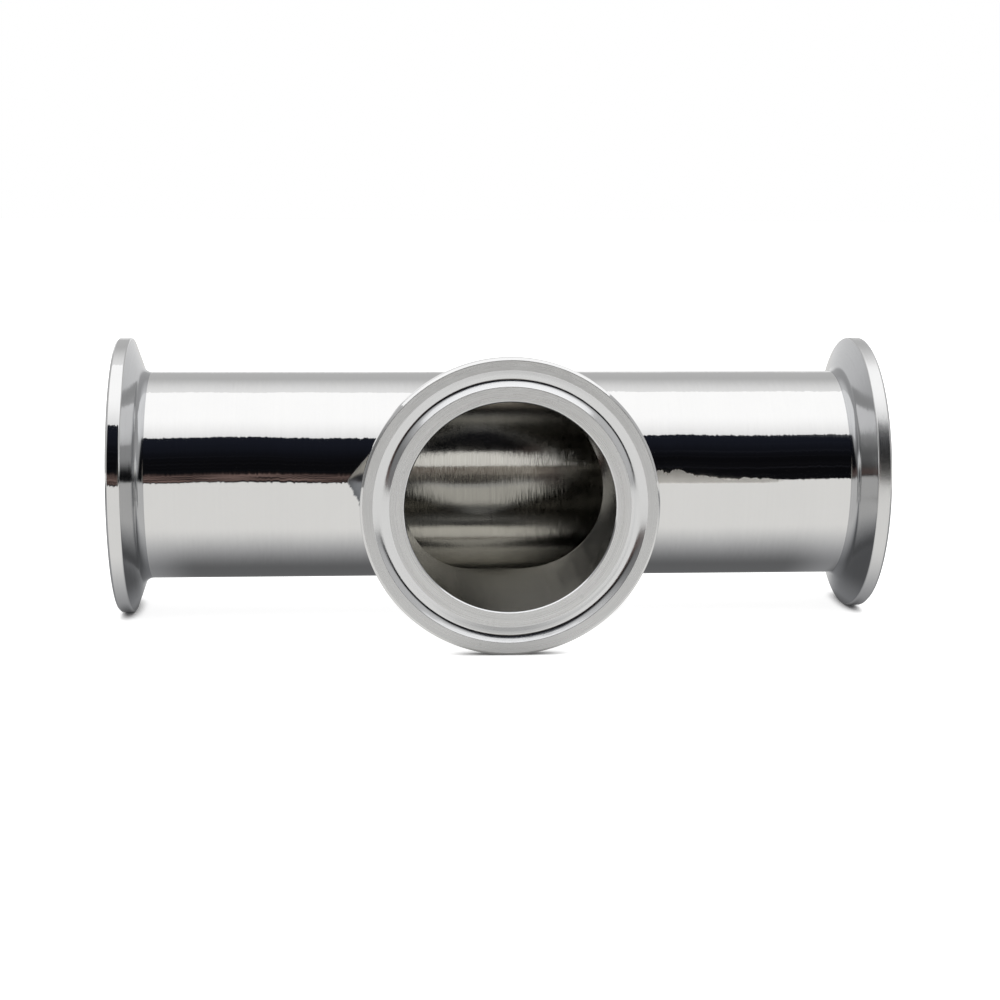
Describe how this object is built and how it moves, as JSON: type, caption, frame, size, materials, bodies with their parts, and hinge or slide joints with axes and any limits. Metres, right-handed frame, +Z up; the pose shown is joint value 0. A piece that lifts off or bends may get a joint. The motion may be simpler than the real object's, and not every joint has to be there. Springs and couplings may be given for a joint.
{
  "type": "sanitary clamp tee",
  "caption": "Polished stainless tube tee with a short pulled branch and a grooved clamp ferrule on every end, for joining hygienic tube lines.",
  "frame": {"origin": "where the run axis and the branch axis cross", "axes": "+X along the run, -Y along the branch towards its face, +Z up; the tee lies on the rims of its three flanges"},
  "size_m": [0.138, 0.0652, 0.0505],
  "materials": {
    "polished_stainless": "mirror polished tube and rims, satin turned faces, honed bores"
  },
  "bodies": {
    "root": {"tee_body": "polished_stainless"}
  },
  "joints": []
}
